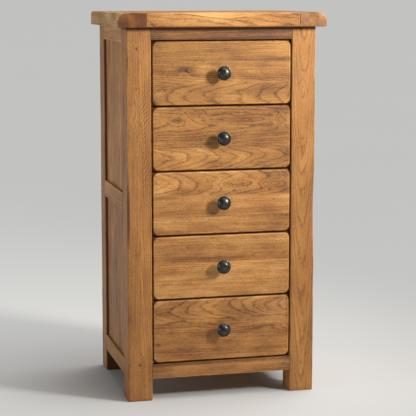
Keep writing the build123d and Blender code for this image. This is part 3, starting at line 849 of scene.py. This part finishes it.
def roundedFace(low, high):
    # the block that a front is carved from: rings from behind the board to its face
    grow, radius = frontPlan["oversize"], frontPlan["cornerRadius"]
    centre = (low + high) / 2
    halfX, halfZ = (high.x - low.x) / 2, (high.z - low.z) / 2
    cornerSteps = frontPlan["cornerSteps"]
    border = frontPlan["inset"] + radius
    signs = ((1, 1), (-1, 1), (-1, -1), (1, -1))
    hubs = [Vector(((halfX - border) * signX, (halfZ - border) * signZ)) for signX, signZ in signs]
    outline = []
    for quarter, hub in enumerate(hubs):
        for i in range(cornerSteps + 1):
            angle = math.radians(quarter * 90 + i * 90 / cornerSteps)
            way = Vector((math.cos(angle), math.sin(angle)))
            outline.append((hub + way * radius, way))
        # points along the next straight side
        nextHub = hubs[(quarter + 1) % 4]
        count = frontPlan["longSteps"] if quarter in (0, 2) else frontPlan["shortSteps"]
        for i in range(1, count):
            outline.append((hub.lerp(nextHub, i / count) + way * radius, way))
    points, ways = [], []

    def put(flat, y, way, lively):
        points.append(Vector((centre.x + flat.x, y, centre.z + flat.y)))
        ways.append((-way.x * lively, 0.0, -way.y * lively))

    def outerReach(place, way):
        # how far the outline lies from the oversized board's own side
        gaps = []
        for half, here, step in ((halfX, place.x, way.x), (halfZ, place.y, way.y)):
            if abs(step) > 1e-6:
                gaps.append((half + grow - abs(here)) / abs(step))
        return min(gaps)

    outers = [outerReach(place, way) for place, way in outline]
    slope, lip, roll = frontPlan["slope"], frontPlan["lip"], frontPlan["roll"]
    for (place, way), reach in zip(outline, outers):
        put(place + way * reach, high.y + grow, way, 0.0)
    for (place, way), reach in zip(outline, outers):
        put(place + way * reach, low.y + reach * slope, way, 0.0)
    for place, way in outline:
        put(place + way * lip, low.y + lip * slope, way, 1.0)
    for place, way in outline:
        put(place - way * roll, low.y, way, 1.0)
    faces = []
    around = len(outline)
    for i in range(3):
        for j in range(around):
            k = (j + 1) % around
            faces.append((i * around + j, i * around + k, (i + 1) * around + k, (i + 1) * around + j))
    faces.append(tuple(reversed(range(around))))
    faces.append(tuple(3 * around + j for j in range(around)))
    block = newPiece("carvingBlock", points, faces)
    storeCarve(block, ways)
    return block


for index, (name, look) in enumerate(frontLooks.items(), 1):
    low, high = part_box(name)
    finish = oak(name + "_oak", low, high, "front", {**frontPlan["skin"], **look})
    block = roundedFace(low, high)
    carving = {"Ripple": frontPlan["ripple"], "Wave": frontPlan["wave"], "Seed": look["seed"], "Finish": finish}
    runTree(block, handCarve, carving)
    finishMesh(block, finish)
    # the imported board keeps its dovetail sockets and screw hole, only its face is carved
    board = bpy.data.objects.new(name + "_board", nodes[name].data.copy())
    scene.collection.objects.link(board)
    finishMesh(board, finish)
    trim = board.modifiers.new("carving", "BOOLEAN")
    trim.operation = "INTERSECT"
    trim.solver = "EXACT"
    trim.object = block
    bakeModifiers(board)
    bpy.data.objects.remove(block)
    finishMesh(board, finish)
    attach(board, f"drawer_{index}")
    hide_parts(name)
print("drawer fronts carved")

# knobs: turned metal, a low dome inside a rolled rim
knobPlan = {
    "sides": 72,
    # (radius, reach from the drawer's face), in mm, before the dome
    "stem": (
        (0.0, 0.0), (8.0, 0.0), (8.5, 0.4), (8.5, 1.2), (8.1, 1.7), (7.0, 2.3), (6.2, 3.6), (5.7, 6.0), (5.5, 9.0),
        (5.8, 12.0), (6.7, 14.6), (8.6, 16.6), (11.5, 17.9), (15.0, 18.6), (18.4, 19.0), (19.7, 19.3), (20.3, 19.8),
        (20.5, 20.5), (20.3, 21.2), (19.8, 21.7), (19.1, 21.9), (18.5, 21.7), (18.1, 21.3), (17.7, 21.2), (17.2, 21.6),
    ),
    "domeRadius": 16.9,
    "domeLow": 22.1,
    "domeHigh": 31.0,
    "domeSteps": 12,
}


def pewter():
    material, r = newMaterial("knobPewter")
    place = r.node("ShaderNodeTexCoord", out="Object")
    cloud = r.noise(place, (0.012, 0.012, 0.012), 3.0, 0.6, 2.0)
    speck = r.noise(place, (0.0016, 0.0016, 0.0016), 2.0, 0.6, 5.0)
    fine = r.noise(place, (0.0005, 0.0005, 0.0005), 2.0, 0.5, 8.0)
    spread = r.node("ShaderNodeSeparateXYZ", values={0: place}, out="Y")
    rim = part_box("drawer_1_knob")[0].y
    # the rim stands between 9 and 12 mm behind the dome's tip and is rubbed brighter
    behind = spread - rim
    rubbed = r.step(behind, 0.0078, 0.0092) * r.step(behind, 0.0112, 0.0125, 1.0, 0.0)
    hollow = r.step(behind, 0.0076, 0.0090) * r.step(behind, 0.0096, 0.0101, 1.0, 0.0)
    colour = r.mix(r.step(cloud, 0.35, 0.7), (0.034, 0.031, 0.026, 1.0), (0.090, 0.082, 0.069, 1.0))
    colour = r.mix(r.step(speck, 0.55, 0.75) * 0.5, colour, (0.022, 0.019, 0.016, 1.0))
    colour = r.mix(rubbed * r.step(cloud, 0.3, 0.6, 0.45, 0.9), colour, (0.34, 0.31, 0.27, 1.0))
    colour = r.mix(hollow * 0.6, colour, (0.012, 0.010, 0.009, 1.0))
    roughness = 0.31 + (cloud - 0.5) * 0.20 + (speck - 0.5) * 0.16 - rubbed * 0.06
    normal = r.node(
        "ShaderNodeBump",
        values={"Strength": 0.30, "Distance": 0.0003, "Height": (speck - 0.5) * 0.8 + (fine - 0.5) * 0.25},
        out="Normal",
    )
    finishMaterial(r, {"Base Color": colour, "Metallic": 0.85, "Roughness": roughness, "Normal": normal})
    return material


knobFinish = pewter()
profile = list(knobPlan["stem"])
domeRise = knobPlan["domeHigh"] - knobPlan["domeLow"]
for i in range(knobPlan["domeSteps"] + 1):
    angle = math.pi / 2 * i / knobPlan["domeSteps"]
    profile.append((knobPlan["domeRadius"] * math.cos(angle), knobPlan["domeLow"] + domeRise * math.sin(angle) ** 1.25))
for index in range(1, 6):
    name = f"drawer_{index}_knob"
    low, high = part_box(name)
    centre = (low + high) / 2
    sides = knobPlan["sides"]
    points, faces = [], []
    for radius, reach in profile:
        for k in range(sides):
            angle = 2 * math.pi * k / sides
            x, z = centre.x + radius * mm * math.cos(angle), centre.z + radius * mm * math.sin(angle)
            points.append((x, high.y - reach * mm, z))
    for i in range(len(profile) - 1):
        for k in range(sides):
            n = (k + 1) % sides
            faces.append((i * sides + k, i * sides + n, (i + 1) * sides + n, (i + 1) * sides + k))
    knob = newPiece(name + "_turned", points, faces)
    finishMesh(knob, knobFinish, 50.0)
    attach(knob, f"drawer_{index}")
    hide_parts(name)
print("knobs turned")

# back boards: four upright boards with a small V where they meet
backPlan = {"count": 4, "vee": 1.6 * mm, "gap": 0.3 * mm}
low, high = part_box("back_boards")
boardWidth = (high.x - low.x) / backPlan["count"]
firstHigh = Vector((low.x + boardWidth - backPlan["gap"], high.y, high.z))
backLook = glued(
    64.0, (0.25, 0.5, 0.75), stave(8, 60, 0.02, 3.4, 0.02), stave(-50, 40, 0.01, 3.0, -0.03),
    stave(-6, 70, -0.03, 3.3, 0.01), stave(40, 44, 0.01, 3.0, -0.01),
    tone=-0.04, roughness=0.6, coat=0.0, knots=((0.3, 0.12, 6, 0.7, -9), (0.72, 0.66, 5, 0.6, -8)),
)
backFinish = oak("backBoardOak", low, high, "back", backLook)
boards = carvedBar(
    "back_board_row", low, firstHigh, 2, [steady(backPlan["vee"]) for _ in range(4)], 4, 1.0 * mm
)
runTree(boards, boardRow, {"Count": backPlan["count"], "Step": (boardWidth, 0.0, 0.0), "Finish": backFinish})
finishMesh(boards, backFinish)
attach(boards, "carcass")
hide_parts("back_boards")
print("back boarded")

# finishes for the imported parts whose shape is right
panelTint = (0.92, 0.92, 0.92)
packedLooks = {
    "front_top_rail": (
        "front",
        glued(
            # the dark tone is partly the rail's own colour and partly painted shade under the top; the marks along its
            # top and bottom edges are painted shadow
            101.0, (), stave(30, 40, 0.01, 2.8, 0), tone=-0.32, tint=(0.96, 0.97, 0.82),
            streakMarks=((0.5, 0.0, 900, 9, 0.46), (0.5, 1.0, 900, 4, 0.25)),
        ),
    ),
    "front_bottom_rail": (
        "front",
        glued(
            113.0, (), stave(-44, 40, 0.015, 3.0, 0), tone=-0.10, tint=(1.0, 1.03, 1.16),
            # the mark along its top edge is painted shadow under the lowest drawer
            streakMarks=((0.5, 0.0, 900, 7, 0.26),), knots=((0.9, 0.5, 3, 0.6, -4),),
        ),
    ),
    "rear_top_rail": ("front", {"seed": 127.0, "tone": -0.03}),
    "rear_bottom_rail": ("front", {"seed": 131.0, "tone": -0.03}),
    "left_top_rail": ("side", {"seed": 139.0, "tone": -0.02}),
    "left_mid_rail": ("side", {"seed": 149.0, "tone": -0.02, "knots": ((0.7, 0.4, 2.5, 0.6, -3),)}),
    "left_bottom_rail": ("side", {"seed": 151.0, "tone": -0.03}),
    "right_top_rail": ("side", {"seed": 157.0}),
    "right_mid_rail": ("side", {"seed": 163.0}),
    "right_bottom_rail": ("side", {"seed": 167.0}),
    "left_upper_panel": (
        "panel",
        glued(
            173.0, (0.36, 0.7), stave(4, 70, 0.03, 3.3, 0.02), stave(-50, 40, 0.01, 3.0, -0.04),
            stave(46, 50, 0.02, 3.1, 0.0), knots=((0.82, 0.3, 3, 0.7, -4), (0.35, 0.8, 2.5, 0.7, -3)),
        ),
    ),
    "left_lower_panel": (
        "panel",
        glued(
            181.0, (0.3, 0.62), stave(40, 44, 0.01, 3.0, 0.0), stave(-6, 66, -0.03, 3.3, 0.03),
            stave(-52, 44, 0.01, 3.0, -0.02), tone=-0.16, knots=((0.4, 0.5, 2.5, 0.7, -3),),
        ),
    ),
    "right_upper_panel": (
        "panel",
        glued(
            191.0, (0.33, 0.68), stave(0, 64, 0.04, 3.3, 0.02), stave(50, 44, 0.01, 3.0, -0.02),
            stave(-8, 70, -0.03, 3.2, 0.01), knots=((0.45, 0.5, 5, 0.8, -8),),
        ),
    ),
    "right_lower_panel": (
        "panel",
        glued(
            193.0, (0.4, 0.7), stave(44, 40, 0.01, 3.0, -0.01), stave(2, 60, 0.04, 3.3, 0.03),
            stave(-46, 50, 0.02, 3.0, -0.02),
        ),
    ),
    "drawer_runners": ("side", {"seed": 197.0, "tone": 0.06, "coat": 0.0, "roughness": 0.62, "wearAndHighlight": 0.0}),
    "top_blocks": ("side", {"seed": 199.0, "tone": 0.04, "coat": 0.0, "roughness": 0.62}),
}
for name, (turn, look) in packedLooks.items():
    low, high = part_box(name)
    look = {"tint": panelTint, **look} if turn in ("panel", "side") else look
    paintMesh(nodes[name].data, oak(name + "_oak", low, high, turn, look))

# drawer boxes: four kinds of finish, one material for each part, sanded and left nearly bare
bareLook = {
    "tone": 0.16, "coat": 0.0, "roughness": 0.6, "wearAndHighlight": 0.05, "ringDepth": 0.16, "ringVariety": 0.14,
    "mottle": 0.16, "tint": (1.0, 1.02, 1.12), "endDark": 0.2,
}
boxKinds = {
    "left_side": ("side", {"seed": 211.0}),
    "right_side": ("side", {"seed": 223.0}),
    "back": ("front", {"seed": 227.0}),
    "bottom": ("top", {"seed": 229.0, "staves": (stave(0, 160, 0.05, 3.6, 0.0),), "tone": 0.2}),
}
for kind, (turn, look) in boxKinds.items():
    for index in range(1, 6):
        name = f"drawer_{index}_{kind}"
        low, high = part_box(name)
        drawerLook = {**bareLook, **look, "seed": look["seed"] + index * 7.0}
        paintMesh(nodes[name].data, oak(name + "_oak", low, high, turn, drawerLook))


def steel():
    material, r = newMaterial("screwSteel")
    place = r.node("ShaderNodeTexCoord", out="Object")
    cloud = r.noise(place, (0.003, 0.003, 0.003), 3.0, 0.6, 2.0)
    turned = r.noise(place, (0.0004, 0.004, 0.0004), 2.0, 0.5, 4.0)
    colour = r.mix(cloud, (0.42, 0.40, 0.36, 1.0), (0.62, 0.60, 0.55, 1.0))
    normal = r.node("ShaderNodeBump", values={"Strength": 0.2, "Distance": 0.0002, "Height": turned}, out="Normal")
    finishMaterial(r, {"Base Color": colour, "Metallic": 1.0, "Roughness": 0.28 + cloud * 0.2, "Normal": normal})
    return material


screwFinish = steel()
for name in ["runner_screws"] + [f"drawer_{i}_knob_screw" for i in range(1, 6)]:
    paintMesh(nodes[name].data, screwFinish)
print("packed parts finished")

# floor, light and camera
studio = {
    "floorColour": rgb(201, 201, 199),
    "floorHalf": 900.0,
    "keyPlace": (2.35, -2.0, 1.95), "keyAim": (0.15, -0.2, 1.17), "keySize": 0.58, "keyPower": 18.6,
    "keyColour": (1.0, 0.975, 0.94), "keySpread": 59.0,
    "fillPlace": (-4.2, -0.6, 1.2), "fillAim": (0.0, 0.1, 0.9), "fillSize": 2.4, "fillPower": 9.0,
    "fillColour": (1.0, 0.985, 0.96), "fillSpread": 60.0,
    "skyStrength": 0.20, "skyColour": (0.985, 0.99, 1.0),
    "overhead": 2.66, "overheadSpread": 70.0, "overheadTilt": 28.0,
}
half = studio["floorHalf"]
corners = [(-half, -half, 0), (half, -half, 0), (half, half, 0), (-half, half, 0)]
floor = newPiece("studio_floor", corners, [(0, 1, 2, 3)])
floorPaint, r = newMaterial("studioFloor")
place = r.node("ShaderNodeTexCoord", out="Object")
cloud = r.noise(place, (0.9, 0.9, 0.9), 2.0, 0.5, 1.0)
paint = r.mix(cloud, (*[c * 0.975 for c in studio["floorColour"]], 1.0), (*studio["floorColour"], 1.0))
finishMaterial(r, {"Base Color": paint, "Roughness": 0.85, "Specular IOR Level": 0.25})
floor.data.materials.append(floorPaint)


def softbox(name, place, aim, size, power, colour, spread):
    lamp = bpy.data.lights.new(name, "AREA")
    lamp.shape = "SQUARE"
    lamp.size = size
    lamp.energy = power
    lamp.color = colour
    lamp.spread = math.radians(spread)
    holder = bpy.data.objects.new(name, lamp)
    holder.location = place
    holder.rotation_euler = (Vector(aim) - Vector(place)).to_track_quat("-Z", "Y").to_euler()
    scene.collection.objects.link(holder)


for kind in ("key", "fill"):
    parts = [studio[kind + part] for part in ("Place", "Aim", "Size", "Power", "Colour", "Spread")]
    softbox(kind + "_light", *parts)
overhead = bpy.data.lights.new("overhead_light", "SUN")
overhead.energy = studio["overhead"]
overhead.angle = math.radians(studio["overheadSpread"])
overheadHolder = bpy.data.objects.new("overhead_light", overhead)
overheadHolder.rotation_euler = (0.0, math.radians(studio["overheadTilt"]), 0.0)
scene.collection.objects.link(overheadHolder)

world = bpy.data.worlds.new("studio")
scene.world = world
world.use_nodes = True
world.node_tree.nodes.clear()
r = Recipe(world.node_tree)
sky = r.node("ShaderNodeBackground", values={"Color": (*studio["skyColour"], 1.0), "Strength": studio["skyStrength"]})
r.node("ShaderNodeOutputWorld", values={"Surface": sky})

cameraPlan = {"place": (-1.005, -4.061, 1.1505), "turn": 14.01, "dip": 7.57, "lens": 122.96, "shift": -0.06}
lens = bpy.data.cameras.new("studio_camera")
lens.sensor_width = 36.0
lens.lens = cameraPlan["lens"]
lens.shift_y = cameraPlan["shift"]
lens.clip_end = 3000.0
camera = bpy.data.objects.new("studio_camera", lens)
camera.location = cameraPlan["place"]
camera.rotation_euler = (math.radians(90 - cameraPlan["dip"]), 0.0, math.radians(-cameraPlan["turn"]))
scene.collection.objects.link(camera)
scene.camera = camera
scene.view_settings.view_transform = "Standard"
print("studio set")
